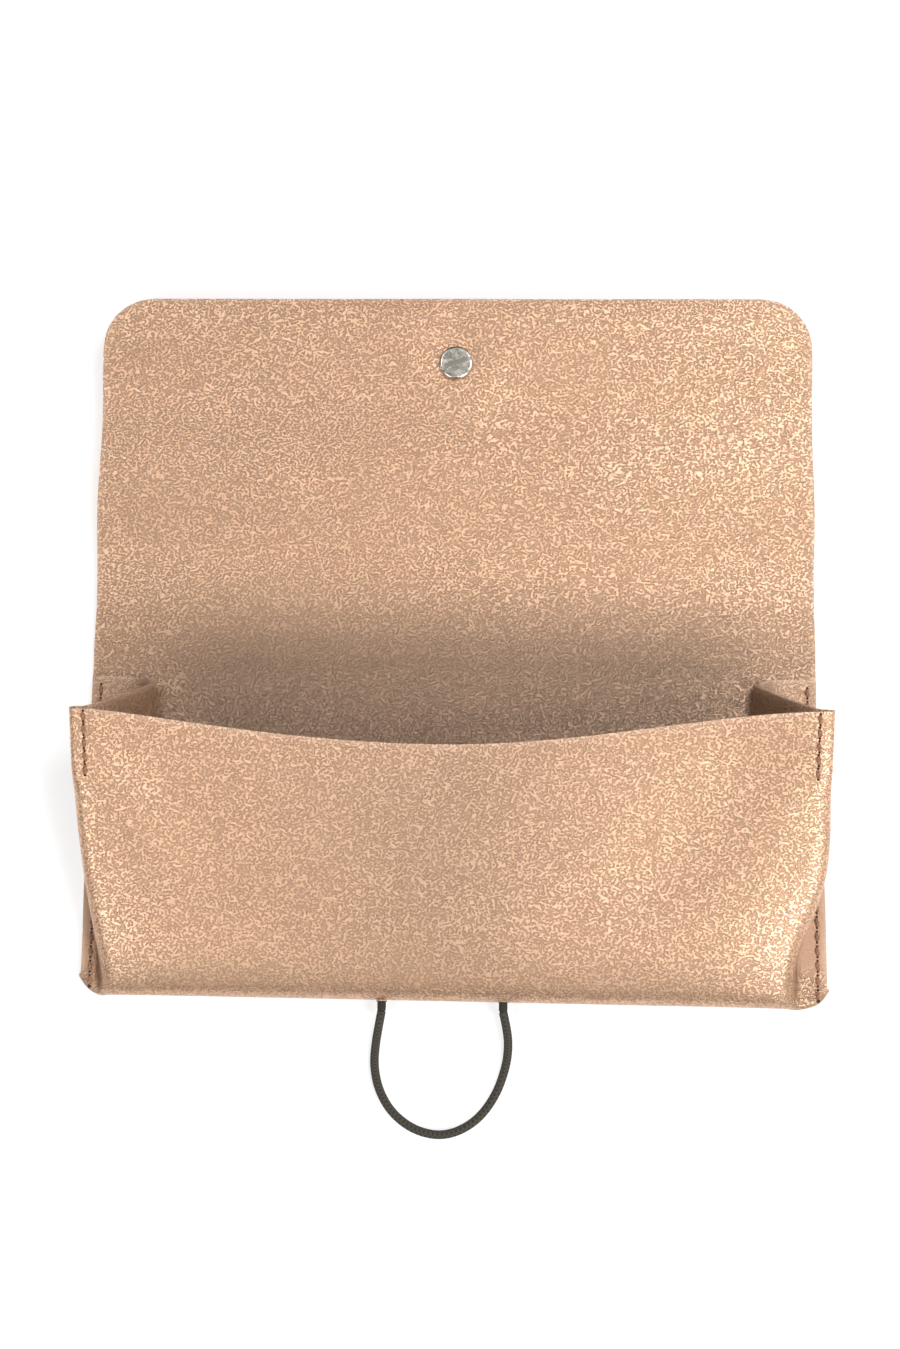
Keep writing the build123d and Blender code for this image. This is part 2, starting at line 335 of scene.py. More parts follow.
def braided_elastic():
    """Fine braid that follows the cord round and along."""
    colours = bpy.context.scene.case_colours
    n = Nodes("braided_elastic")
    braid = []
    for lean in (1, -1):
        spot = n.coordinates(scale=(150.0, 6.0 * lean, 1.0), source="UV")
        braid.append(n.add("ShaderNodeTexWave", {"Vector": spot, "Scale": 0.32, "Distortion": 0.0},
                           bands_direction="DIAGONAL").outputs["Fac"])
    weave = n.math("MAXIMUM", braid[0], braid[1])
    fuzz = n.noise(n.coordinates(), 2200.0, detail=2.0)
    light = tuple(c * 1.2 for c in colours.elastic)
    dark = tuple(c * 0.6 for c in colours.elastic)
    raised = n.math("ADD", weave, n.math("MULTIPLY", fuzz, 0.3))
    colour = n.blend(n.ramp(raised, 0.5, 1.2), rgba(dark), rgba(light))
    rough = n.ramp(fuzz, 0.3, 0.7, 0.68, 0.85)
    return n.finish(colour, rough, n.bump(weave, 0.00010, 0.5), Sheen_Weight=0.04, Specular_IOR_Level=0.25)


def nickel_plate():
    """Turned and polished nickel with random tarnish, and painted shade below the screw head's face."""
    colours = bpy.context.scene.case_colours
    n = Nodes("nickel_plate")
    middle = (SCREW_LOW + SCREW_HIGH) / 2 * MM
    place = n.add("ShaderNodeTexCoord").outputs["Object"]
    away = n.add("ShaderNodeVectorMath", {0: place, 1: middle}, operation="SUBTRACT").outputs["Vector"]
    reach = n.add("ShaderNodeVectorMath", {0: away}, operation="LENGTH").outputs["Value"]
    rings = n.add("ShaderNodeTexNoise", {"W": n.math("MULTIPLY", reach, 9000.0), "Scale": 1.0, "Detail": 2.0},
                  noise_dimensions="1D").outputs["Fac"]
    up = n.add("ShaderNodeVectorMath", {0: away, 1: (0, -math.sin(FLAP_RISE), math.cos(FLAP_RISE))},
               operation="DOT_PRODUCT").outputs["Value"]
    face = (SCREW_HIGH.z - middle.z / MM) * MM - HEAD_RADIUS * MM * math.sin(FLAP_RISE)
    # Painted shade: the head darkens below its face, in the slot and round its edge.
    painted_head_shade = n.ramp(up, face - 0.42 * MM, face - 0.22 * MM, 0.85, 0.0)
    on_head = n.ramp(reach, 0.0034, 0.0046, 1.0, 0.0)
    tarnish = n.noise(n.coordinates(), 700.0, detail=4.0, rough=0.6)
    dark = tuple(c * 0.25 for c in colours.nickel)
    # Random tarnish, joined with the painted shade of the head.
    tarnish_and_shade = n.math("MAXIMUM", n.math("MULTIPLY", painted_head_shade, on_head), n.ramp(tarnish, 0.55, 0.8, 0.0, 0.4))
    colour = n.blend(tarnish_and_shade, rgba(colours.nickel), rgba(dark))
    rough = n.math("ADD", n.ramp(tarnish, 0.3, 0.7, 0.20, 0.29), n.math("MULTIPLY", tarnish_and_shade, 0.25))
    return n.finish(colour, rough, n.bump(rings, 0.000008, 0.7), Metallic=1.0)


def studio_floor():
    n = Nodes("studio_floor")
    mottle = n.noise(n.coordinates(), 3.0, detail=2.0)
    colour = n.blend(mottle, (0.52, 0.52, 0.52, 1), (0.56, 0.56, 0.56, 1))
    rough = n.ramp(mottle, 0.3, 0.7, 0.8, 0.9)
    return n.finish(colour, rough, n.bump(mottle, 0.0002, 0.1), Emission_Color=(1, 1, 1, 1),
                    Emission_Strength=0.58)


def finish_of(name, maker):
    """The named material, made once."""
    return bpy.data.materials.get(name) or maker()


def leather_slots():
    return [finish_of("foil_leather", foil_leather), finish_of("raw_leather_edge", raw_leather_edge)]


# Leather sheets

def leather_sheet(name, columns, rows, place, joins, stretch=None):
    """One cut of leather: a grid set in place, made smooth, given its thickness and its worn edges.

    Joins are the places along Y, in millimetres, where it runs on into its neighbour.
    """
    bm = bmesh.new()
    across, along = len(columns) - 1, len(rows) - 1
    bmesh.ops.create_grid(bm, x_segments=across, y_segments=along, size=0.5)
    for v in bm.verts:
        column = columns[round((v.co.x + 0.5) * across)]
        row = rows[round((v.co.y + 0.5) * along)]
        v.co = place(column, row) * MM
    # Each point's share of gusset stretch and of painted shade.
    for layer_name, share_at in (("stretch", stretch), ("patina", patina)):
        layer = bm.verts.layers.float.new(layer_name)
        for v in bm.verts:
            v[layer] = share_at(v.co / MM) if share_at else 0.0
    sheet = new_object(name, bm, leather_slots())
    detail = bpy.context.scene.case_sizes.detail
    smoothing = sheet.modifiers.new("smooth", "SUBSURF")
    smoothing.levels = smoothing.render_levels = detail
    smoothing.boundary_smooth = "PRESERVE_CORNERS"
    skin = sheet.modifiers.new("skin", "SOLIDIFY")
    skin.thickness = T * MM
    skin.offset = 0.0
    skin.material_offset_rim = 1
    bake_modifiers(sheet)
    face_outwards(sheet)
    mark_worn_edges(sheet, joins)
    shade(sheet, 50)
    return sheet


FRONT_RISE = 17.0            # height of the front's top above its foot
PAINTED_SHADE_MIDDLE, PAINTED_SHADE_BASE = 0.34, 0.38     # strongest painted shade in the front's middle and along its base
PAINTED_SHADE_AT, PAINTED_SHADE_WIDTH = -3.0, 34.0        # middle and half width of the front's patch of painted shade


def patina(point):
    """Painted shade, from 0 to 1: strongest in the pocket, where the front shades the back, and milder along
    the base and in the middle of the front.
    """
    up = (point.y - BASE_Y) / (FOLD_Y - BASE_Y)
    on_front = smooth(-2.5, -0.5, point.z - (MOUTH_AXIS.z + 1 + FRONT_RISE * up))
    # Painted shade of the pocket, deepest where the front stands over the back.
    pocket = (1 - smooth(38, 66, point.y)) * (1 - 0.45 * smooth(52, 84, abs(point.x)))
    patch = math.exp(-((point.x - PAINTED_SHADE_AT) / PAINTED_SHADE_WIDTH) ** 2)
    middle = PAINTED_SHADE_MIDDLE * patch * (1 - 0.4 * smooth(0.5, 0.85, up))
    base = PAINTED_SHADE_BASE * (1 - smooth(-0.02, 0.14, up))
    return mix(pocket, max(middle, base), on_front)


def mark_worn_edges(sheet, joins, reach=0.9 * MM):
    """Writes how near each point is to a cut edge, for the leather's wear. Joins don't count."""
    mesh = sheet.data
    rim = {i for p in mesh.polygons if p.material_index == 1
           and all(abs(p.center.y / MM - y) > 0.3 for y in joins) for i in p.vertices}
    tree = KDTree(len(rim))
    for i in rim:
        tree.insert(mesh.vertices[i].co, i)
    tree.balance()
    near = [math.exp(-((tree.find(v.co)[2] / reach) ** 2)) for v in mesh.vertices]
    attribute = mesh.attributes.new("edge_wear", "FLOAT", "POINT")
    attribute.data.foreach_set("value", near)


# The pouch: back, base fold, front and both gussets, cut as one

# The first columns on each side are the seam's margin, as distances from the middle.
MARGIN = (85.9, 85.3, 84.2, 82.9)
# Half sections of the gusset, as (distance in from the roll, share of the height).
SECTION_BASE = ((-2.3, 0.02), (-1.8, 0.07), (-1.4, 0.13), (-1.1, 0.20), (-0.8, 0.30), (-0.55, 0.40),
                (-0.3, 0.50), (0.0, 0.65), (0.8, 0.82), (2.3, 0.94), (4.6, 1.0))
SECTION_MIDDLE = ((6.0, 0.02), (9.5, 0.06), (11.0, 0.20), (10.0, 0.34), (6.0, 0.52), (2.6, 0.64),
                  (0.9, 0.72), (0.0, 0.82), (0.25, 0.93), (1.6, 0.99), (4.2, 1.0))
SECTION_MOUTH = ((9.0, 0.01), (13.6, 0.04), (16.4, 0.14), (15.0, 0.27), (9.5, 0.60), (4.0, 0.925),
                 (1.5, 0.938), (0.1, 0.945), (0.0, 0.988), (1.3, 1.0), (3.7, 1.0))
FRONT_SHARES = (0.90, 0.84, 0.76, 0.66, 0.55, 0.43, 0.29, 0.145, 0.0)   # of the half width
LAST_FOLDED = len(MARGIN) + len(SECTION_BASE) - 1
LAST_COLUMN = LAST_FOLDED + len(FRONT_SHARES)
ROLL_W = {-1: 86.7, 1: 87.2}     # half width of the rolled front, left and right
# How far the roll stands in from there, as (share of the height, millimetres).
TUCK = {-1: ((0.0, 7.4), (0.05, 6.9), (0.13, 5.5), (0.25, 3.9),
             (0.36, 2.8), (0.58, 1.3), (0.80, 0.4), (1.0, 0.0)),
        1: ((0.0, 9.2), (0.08, 8.6), (0.17, 7.2), (0.27, 5.0),
            (0.38, 2.6), (0.53, 0.7), (0.73, 0.5), (1.0, 0.0))}
MARGIN_SHIFT = {-1: -0.3, 1: 1.2}   # how far the sewn margin stands out of square at the base
SCOOP_POWER = {-1: 1.5, 1: 2.3}  # the top edge rises more steeply on the right
ROLL_TOP_IN = 4.0                # the gusset takes the front's height this far in from the roll
ROLL_DROP_IN = 4.6               # and its drop this far in
SHOULDER_DROP, SHOULDER_REACH = 1.9, 6.5
BULGE_REACH = 8.0                # most of the front's fullness is reached this far up its slope
DENT_DEPTH, DENT_WIDTH = 1.7, 13.0
DENT_FOOT, DENT_HEAD = 24.0, 74.0    # how far from the middle a dent runs, at the base and the top
UNEVEN = 0.7                     # height of the leather's slow unevenness
CORNER_REACH = 6.0               # of the rounded lower corners
CORNER_LIMIT = 0.90              # the corner stops short of an upright edge
SKEW = 1.0                       # how far the base runs out of square at its ends
BASE_LEAN = math.radians(33)     # slope of the front where it leaves the base fold


def from_table(table, x):
    """Value at x of a table of (place, value), by straight lines between them."""
    for (x0, v0), (x1, v1) in zip(table, table[1:]):
        if x <= x1:
            return mix(v0, v1, max(0.0, (x - x0) / (x1 - x0)))
    return table[-1][1]


def front_height(x, s, scoop_share):
    """Place along Y and height of the front's middle layer, s up the slope."""
    sizes = bpy.context.scene.case_sizes
    f = s / FRONT_TOP
    dip = (1 - min(1.0, abs(x) / ROLL_W[1]) ** 2) ** SCOOP_POWER[-1 if x < 0 else 1]
    cut = sizes.scoop * dip * smooth(0.3, 1.0, f) * scoop_share
    run = s - cut
    full = sizes.bulge * (1 - math.exp(-s / BULGE_REACH)) * (1 - f)
    sag = sizes.sag * (1 - (x / HALF_W) ** 2) * f ** 1.3
    # A dent runs from each pinched corner towards the middle of the base.
    dent = 0.0
    for side in (-1, 1):
        line = side * mix(DENT_FOOT, DENT_HEAD, f ** 0.8)
        depth = DENT_DEPTH * math.exp(-((x - line) / DENT_WIDTH) ** 2)
        dent -= depth * smooth(0.12, 0.45, f) * (1 - smooth(0.8, 1.0, f))
    soft = dent + UNEVEN * noise.noise(Vector((x / 30.0, s / 26.0, 3.1))) * smooth(0.05, 0.3, f)
    z = MOUTH_AXIS.z + TURN_R * math.cos(SLOPE) + run * math.sin(SLOPE) + full - sag + soft
    y = BASE_Y - TURN_R * math.sin(SLOPE) + run * math.cos(SLOPE)
    return y, z


def base_skew(x, f):
    """How far the base runs along Y out of square, fading up the slope."""
    return -SKEW * (x / HALF_W) * (1 - smooth(0.0, 0.8, f))


def corner_lift(x):
    """How far the rounded lower corners stand in along Y from the base line."""
    past = max(0.0, min(1.0, (abs(x) - (HALF_W - CORNER_REACH)) / CORNER_REACH))
    return CORNER_REACH * (1 - math.sqrt(1 - min(CORNER_LIMIT, past * past)))


def shoulder(inward, f):
    """How far the front drops towards its rolled side, above the pinched corner's stretch."""
    return SHOULDER_DROP * math.exp(-inward / SHOULDER_REACH) * (1 - smooth(0.55, 0.85, f))


def fold_arc(z):
    """Slope and radius of the base fold's middle layer where it ends at a height."""
    lean = BASE_LEAN * max(0.0, min(1.0, (z - SEAM_Z) / (MOUTH_AXIS.z + TURN_R - SEAM_Z)))
    return lean, (z - T / 2) / (1 + math.cos(lean))


def bare_front_point(side, index, s):
    """Point of the front or a gusset before its lower end is set on the base fold."""
    f = s / FRONT_TOP
    w = ROLL_W[side] - from_table(TUCK[side], f)
    back_y = mix(BASE_Y, FOLD_Y - 0.4, f)
    if index > LAST_FOLDED:
        x = w * FRONT_SHARES[index - LAST_FOLDED - 1]
        y, z = front_height(side * x, s, 1.0)
        return Vector((x, y, z - shoulder(w - x, f)))
    front_y, front_z = front_height(side * (w - ROLL_TOP_IN), s, 1.0)
    front_z -= shoulder(ROLL_DROP_IN, f)
    if index < len(MARGIN):
        x, share = MARGIN[index], 0.0
    else:
        i = index - len(MARGIN)
        opened, pinched = smooth(0.02, 0.50, f), smooth(0.66, 0.80, f)
        x_in, share = (mix(mix(a, b, opened), c, pinched)
                       for a, b, c in zip(SECTION_BASE[i], SECTION_MIDDLE[i], SECTION_MOUTH[i]))
        x = w - x_in
    return Vector((x, mix(back_y, front_y, share), mix(SEAM_Z, front_z, share)))


def pouch_front_point(side, index, s):
    """Point of the front or a gusset on one side, for a column and a slope length."""
    f = s / FRONT_TOP
    point, foot = bare_front_point(side, index, s), bare_front_point(side, index, 0.0)
    lean, radius = fold_arc(foot.z)
    seat = BASE_Y - TURN_R + radius * (1 - math.sin(lean)) - foot.y
    low = 1 - smooth(0.0, 0.14, f)
    point.y += (seat + corner_lift(foot.x)) * low + base_skew(side * point.x, f)
    if index <= LAST_FOLDED:
        point.x += MARGIN_SHIFT[side] * (1 - smooth(0.25, 0.7, f)) * smooth(78, 84, point.x)
    return Vector((side * point.x, point.y, point.z))


def pouch_point(column, row):
    """Point of the pouch's sheet for a signed column and a row of one of its three stretches."""
    side = -1 if column < 0 else 1
    index = LAST_COLUMN - abs(column)
    kind, along = row
    if kind == "front":
        return pouch_front_point(side, index, along)
    start = pouch_front_point(side, index, 0.0)
    lean, radius = fold_arc(start.z)
    foot = start.y + radius * math.sin(lean)
    if kind == "fold":
        turn = mix(lean, math.pi, along)
        return Vector((start.x, foot - radius * math.sin(turn), T / 2 + radius * (1 + math.cos(turn))))
    fade = 1 - smooth(0.0, 0.3, along)
    edge = mix(HALF_W if index == 0 else abs(start.x) - MARGIN_SHIFT[side] * smooth(78, 84, abs(start.x)),
               abs(start.x), fade)
    return Vector((side * edge, mix(BASE_Y, FOLD_Y - JOIN_IN, along) + (foot - BASE_Y) * fade, T / 2))


def gusset_stretch(point):
    """1 on the gussets, where the grain is stretched smooth, and 0 on the front and back."""
    inward = 1 - smooth(0.5, 2.5, abs(point.x) - (HALF_W - 20))
    above_back = smooth(SEAM_Z - 0.3, SEAM_Z, point.z)
    front_z = front_height(point.x, max(0.0, (point.y - BASE_Y) / math.cos(SLOPE)), 0.0)[1]
    below_front = smooth(1.2, 3.2, front_z - point.z)
    height = mix(1.0, 0.45, smooth(BASE_Y + 20, BASE_Y + 45, point.y))
    return (1 - inward) * above_back * below_front * smooth(BASE_Y, BASE_Y + 5, point.y) * height


def pouch_rows():
    back = [("back", a) for a in (1.0, 0.85, 0.68, 0.5, 0.32, 0.16, 0.06)]
    fold = [("fold", a) for a in (1.0, 0.83, 0.66, 0.5, 0.34, 0.17)]
    front = [("front", s) for s in (0.0, 2.5, 6, 10, 14.5, 19.5, 25, 31, 37, 42, 45.5, 48, 50.5, 54, 58, 61.5,
                                    FRONT_TOP)]
    return back + fold + front


def move_with_mouth(piece):
    """Sets a piece's place and turn into its mesh."""
    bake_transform(piece)


class CASE_OT_pouch(bpy.types.Operator):
    """Back, base fold, front and both gussets, as one cut of leather"""
    bl_idname = "case.pouch"
    bl_label = "Pouch"

    def execute(self, context):
        columns = list(range(-LAST_COLUMN, LAST_COLUMN + 1))
        pouch = leather_sheet("pouch_leather", columns, pouch_rows(), pouch_point, [FOLD_Y - JOIN_IN],
                              gusset_stretch)
        move_with_mouth(pouch)
        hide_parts("back_panel", "base_fold", "front_panel", "gusset_left", "gusset_right")
        return {"FINISHED"}


# The flap

SIDE_WAVE = {-1: 0.32, 1: 0.2}   # depth of the waves in the cut sides, left and right
SIDE_WAVE_LENGTH = 42.0
WAVE_LENGTH, WAVE_PHASE, WAVE_LEAN = 38.0, 0.165, 0.25
FLAP_UNEVEN = 0.30               # height of the flap's slow unevenness
SCREW_DENT = 0.32                # depth of the leather pressed in round the screw's head
DENT_RING, DENT_RING_WIDTH = 3.6, 2.2


def flap_half_width(side, v):
    """Half width of the flap's leather, with the soft waves of its cut sides."""
    waves = SIDE_WAVE[side] * math.sin(math.tau * (v - 8) / SIDE_WAVE_LENGTH)
    return HALF_W - waves * smooth(4, 16, v) * (1 - smooth(66, 80, v))


def flap_point(column, v):
    """Point of the flap's middle layer, a share across and v past the fold line."""
    sizes = bpy.context.scene.case_sizes
    side = -1 if column < 0 else 1
    half = flap_half_width(side, v)
    past = max(0.0, v - (FLAP_LENGTH - sizes.corner))
    half -= sizes.corner - math.sqrt(max(0.0, sizes.corner ** 2 - past ** 2))
    x = column * half
    if v < 0:
        return Vector((x, FOLD_Y + v, T / 2))
    rise = v * smooth(-4, 8, v)
    phase = math.tau * v / WAVE_LENGTH - WAVE_PHASE + WAVE_LEAN * x / HALF_W
    wave = sizes.wave * math.sin(phase) * smooth(12, 30, v)
    wave += FLAP_UNEVEN * noise.noise(Vector((x / 40, v / 30, 7.7))) * smooth(14, 30, v)
    away = math.hypot(x, v - SCREW_V)
    wave *= smooth(6.0, 16.0, away)
    dent = -SCREW_DENT * math.exp(-((away - DENT_RING) / DENT_RING_WIDTH) ** 2)
    base = T * (1 - math.cos(FLAP_RISE)) / 2
    return Vector((x, FOLD_Y + v * math.cos(FLAP_RISE),
                   base + rise * math.sin(FLAP_RISE) + T / 2 + wave + dent))


def flap_columns():
    """Shares of the half width, closer at the sides and round the screw."""
    half = (0.022, 0.045, 0.07, 0.10, 0.16, 0.25, 0.36, 0.48, 0.60, 0.72, 0.82, 0.90, 0.955, 0.985, 1.0)
    return [-a for a in reversed(half)] + [0.0] + list(half)


class CASE_OT_flap(bpy.types.Operator):
    """The flap's leather, in a root that leaves the back and a cover that holds the stud"""
    bl_idname = "case.flap"
    bl_label = "Flap"

    def execute(self, context):
        root_rows = [-JOIN_IN, -5.5, -3, -1, 1, 3, 5.5, 8.5, 11.5, JOIN_OUT]
        meet = FOLD_Y + JOIN_OUT * math.cos(FLAP_RISE)
        root = leather_sheet("flap_root", flap_columns(), root_rows, flap_point, [FOLD_Y - JOIN_IN, meet])
        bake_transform(root)
        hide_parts("flap_bridge")
        corner = context.scene.case_sizes.corner
        turn = [FLAP_LENGTH - corner + corner * math.sin(math.radians(a))
                for a in (0, 16, 32, 48, 62, 76, 90)]
        middle = [JOIN_OUT, 18, 21, 24, 26.5, 29, 31.5, 34, 37, 41, 46, 52, 58, 64, 69, 72, 74.5, 77, 79.2]
        cover = leather_sheet("flap_cover", flap_columns(), middle + turn, flap_point, [meet])
        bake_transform(cover)
        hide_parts("flap_panel")
        return {"FINISHED"}


# The elastic

# Route of the loop as (x, distance past its bend, z), in metres.
LOOP_ROUTE = [
    (-0.0154, 0.00105, 0.0039),
    (-0.0161, 0.0047, 0.0031),
    (-0.0168, 0.0087, 0.0016),
    (-0.0171, 0.0133, 0.0010),
    (-0.0159, 0.0189, 0.0010),
    (-0.0126, 0.0243, 0.0010),
    (-0.0070, 0.0282, 0.0010),
    (-0.0002, 0.0292, 0.0010),
    (0.0064, 0.0260, 0.0010),
    (0.0109, 0.0202, 0.0010),
    (0.0133, 0.0135, 0.0010),
    (0.0139, 0.0087, 0.0016),
    (0.0135, 0.0047, 0.0031),
    (0.0126, 0.00105, 0.0039),
]
ELASTIC_R = 0.001
KNOT_RADII = (0.0018, 0.0016, 0.0018)
HOLE_R, LIP_R = 0.00122, 0.00016     # the base's two holes and their turned lips


class CASE_OT_loop(bpy.types.Operator):
    """The loop of round elastic, lying on the ground below the base"""
    bl_idname = "case.loop"
    bl_label = "Elastic loop"

    def execute(self, context):
        curve = bpy.data.curves.new("elastic_cord", "CURVE")
        curve.dimensions = "3D"
        spline = curve.splines.new("NURBS")
        spline.points.add(len(LOOP_ROUTE) - 1)
        bend_y = LOOP_AXIS.y * MM
        for point, (x, out, z) in zip(spline.points, LOOP_ROUTE):
            point.co = (x, bend_y - out, z, 1.0)
        spline.order_u = 3
        spline.use_endpoint_u = True
        spline.resolution_u = 12
        curve.bevel_depth = ELASTIC_R
        curve.bevel_resolution = 6
        curve.use_fill_caps = True
        curve.materials.append(finish_of("braided_elastic", braided_elastic))
        cord = bpy.data.objects.new("elastic_cord", curve)
        context.scene.collection.objects.link(cord)
        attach(cord, "loop")
        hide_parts("elastic_loop")
        x, out, z = LOOP_ROUTE[0]
        return {"FINISHED"}


def tube_between(bm, start, end, radius, segments=20):
    """Closed round bar between two points."""
    run = end - start
    turn = run.to_track_quat("Z", "Y").to_matrix().to_4x4()
    bmesh.ops.create_cone(bm, cap_ends=True, segments=segments, radius1=radius, radius2=radius,
                          depth=run.length, matrix=Matrix.Translation((start + end) / 2) @ turn)


def ball_at(bm, centre, radii, turn=None, rings=10):
    """Ellipsoid with its own three radii."""
    matrix = Matrix.Translation(centre) @ (turn or Matrix()) @ Matrix.Diagonal((*radii, 1.0))
    bmesh.ops.create_uvsphere(bm, u_segments=rings + 4, v_segments=rings, radius=1.0, matrix=matrix)


class CASE_OT_elastic_ends(bpy.types.Operator):
    """The elastic's two ends: through the base, knotted inside, with the punched holes' lips"""
    bl_idname = "case.elastic_ends"
    bl_label = "Elastic ends"

    def execute(self, context):
        bm = bmesh.new()
        rims = bmesh.new()
        outer_y = (MOUTH_AXIS.y - MOUTH_AXIS.z) * MM
        upright = Euler((math.pi / 2, 0, 0)).to_matrix().to_4x4()
        across = Euler((0, math.pi / 2, 0)).to_matrix().to_4x4()
        z = MOUTH_AXIS.z * MM
        for x in (LOOP_ROUTE[0][0], LOOP_ROUTE[-1][0]):
            bend = Vector((x, LOOP_AXIS.y * MM, z))
            tube_between(bm, Vector((x, MOUTH_AXIS.y * MM, z)), bend, ELASTIC_R)
            ball_at(bm, bend + Vector((0, -0.0003, 0)),
                    (ELASTIC_R * 1.02, ELASTIC_R * 1.25, ELASTIC_R * 1.02))
            ball_at(bm, Vector((x, MOUTH_AXIS.y * MM, z)), KNOT_RADII)
            place = Matrix.Translation((x + HOLE_R, outer_y + 0.0001, z))
            start = bmesh.ops.create_circle(rims, segments=12, radius=LIP_R,
                                            matrix=place @ upright @ across)
            edges = list({e for v in start["verts"] for e in v.link_edges})
            bmesh.ops.spin(rims, geom=start["verts"] + edges, cent=(x, outer_y, z), axis=(0, 1, 0),
                           angle=math.tau, steps=24, use_merge=True)
        bmesh.ops.remove_doubles(rims, verts=rims.verts, dist=1e-6)
        bmesh.ops.recalc_face_normals(rims, faces=rims.faces)
        ends = new_object("elastic_ends", bm, [finish_of("braided_elastic", braided_elastic)])
        lips = new_object("hole_lips", rims, [finish_of("raw_leather_edge", raw_leather_edge)])
        for piece, slot in ((ends, "elastic"), (lips, "leather")):
            shade(piece, 60)
            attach(piece, "pouch")
        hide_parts("elastic_knots")
        return {"FINISHED"}


# The stitching

STITCH_PITCH, STITCH_LENGTH = 3.35, 2.1
CORNER_STITCHES, CORNER_PITCH = 5, 3.1   # down each pinched corner
CORNER_IN, SEAM_IN = 2.9, 2.2    # how far the two kinds of row stand in from the edge
SUNK_UNDER = -0.8                # rows on the underside lie in the leather


def stitch_on(bm, holes, spot, normal, along, length, proud, rng):
    """One slanted stitch dipping into its two needle holes, its middle proud by a share of its radius. Each
    hole is a near-black blob of painted shade.
    """
    radius = bpy.context.scene.case_sizes.thread / 2
    side = normal.cross(along).normalized()
    slant = Matrix.Rotation(rng.uniform(0.10, 0.26), 4, "Z")
    turn = Matrix((along, side, normal)).transposed().to_4x4() @ slant
    ball_at(bm, spot + normal * radius * proud, (length / 2, radius, radius * 0.95), turn)
    # Painted shade: a dark blob at each end stands in for the shade inside its needle hole.
    for end in (-1, 1):
        hole = spot + along * end * (length / 2 + radius * 0.35)
        ball_at(holes, hole - normal * radius * 0.40, (radius, radius * 0.9, radius * 0.55), turn, rings=6)


def stitch_row(name, node, places, surface, from_above):
    """A seam's stitches, laid on the leather's own surface."""
    rng = random.Random(name)
    thread, holes = bmesh.new(), bmesh.new()
    down = Vector((0, 0, -1 if from_above else 1))
    for start, end in places:
        ends = []
        for x, y in (start, end):
            hit, normal, _, _ = surface.ray_cast(Vector((x * MM, y * MM, 0)) - down * 0.08, down)
            if hit is None:
                raise RuntimeError(f"{name}: no leather under a stitch at {x:.1f}, {y:.1f}")
            ends.append((hit, normal))
        (a, normal_a), (b, normal_b) = ends
        normal = (normal_a + normal_b).normalized()
        if normal.dot(down) > 0:
            normal.negate()
        along = (b - a).normalized()
        normal = (normal - along * normal.dot(along)).normalized()
        proud = 0.25 if from_above else SUNK_UNDER
        stitch_on(thread, holes, (a + b) / 2, normal, along, (b - a).length, proud, rng)
    row = new_object(name, thread, [finish_of("sewing_thread", sewing_thread)])
    # The needle holes' blobs carry painted shade.
    punched = new_object(name + "_holes", holes, [finish_of("needle_hole_shade", needle_hole_shade)])
    for piece in (row, punched):
        shade(piece, 60)
        move_with_mouth(piece)
    if node:
        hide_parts(node)


def seam_place(side, y):
    """Point of the back seam at y, set out of square with the margin and the base."""
    f = (y - BASE_Y) / (FOLD_Y - BASE_Y)
    x = side * (HALF_W - SEAM_IN + MARGIN_SHIFT[side] * (1 - smooth(0.25, 0.7, f)))
    return x, y + base_skew(x, f)


def seam_strip(side):
    """Search surface for the top of the seam margin, which the front overhangs."""
    bm = bmesh.new()
    top = SEAM_Z + T / 2
    middle = Vector((side * (HALF_W - 2), (BASE_Y + FOLD_Y) / 2, top)) * MM
    bmesh.ops.create_grid(bm, x_segments=2, y_segments=2, size=0.5,
                          matrix=Matrix.Translation(middle) @ Matrix.Diagonal((0.006, 0.09, 1, 1)))
    tree = BVHTree.FromBMesh(bm)
    bm.free()
    return tree


class CASE_OT_stitches(bpy.types.Operator):
    """Stitches of the two pinched corners and the two back seams"""
    bl_idname = "case.stitches"
    bl_label = "Stitches"

    def execute(self, context):
        surface = surface_of(bpy.data.objects["pouch_leather"])
        for side, word in ((-1, "left"), (1, "right")):
            top, low = (pouch_front_point(side, LAST_FOLDED, s).y for s in (FRONT_TOP, FRONT_TOP - 20))
            step = (top - low) / 20
            corner = []
            for i in range(CORNER_STITCHES):
                x = side * (ROLL_W[side] - CORNER_IN) - side * 0.1 * i
                y = top - (0.9 + i * CORNER_PITCH) * step
                corner.append(((x, y), (x, y - STITCH_LENGTH * step)))
            stitch_row(f"corner_thread_{word}", f"thread_front_{word}", corner, surface, True)
            count = int((FOLD_Y - BASE_Y - 1.8) / STITCH_PITCH) + 1
            lows = [BASE_Y - 1.6 + i * STITCH_PITCH for i in range(count)]
            seam = [(seam_place(side, y), seam_place(side, y + STITCH_LENGTH)) for y in lows]
            stitch_row(f"seam_thread_{word}", f"thread_back_{word}", seam, seam_strip(side), True)
            stitch_row(f"seam_thread_under_{word}", None, seam, surface, False)
        return {"FINISHED"}


# The stud and the stage

class CASE_OT_stud(bpy.types.Operator):
    """Plates the screw and the knob in polished nickel"""
    bl_idname = "case.stud"
    bl_label = "Stud"

    def execute(self, context):
        plate = finish_of("nickel_plate", nickel_plate)
        for node in ("stud_screw", "stud_button"):
            obj = bpy.data.objects[node]
            if not obj.material_slots:
                raise RuntimeError(f"{node} has no material slot")
            for slot in obj.material_slots:
                slot.material = plate
        return {"FINISHED"}


CAMERA_PLACE = (0.0191, -0.1092, 0.6168)
CAMERA_TURN = (13.418, 1.671, 0.726)     # degrees
CAMERA_LENS = 70.96                      # millimetres, on a long side of 36

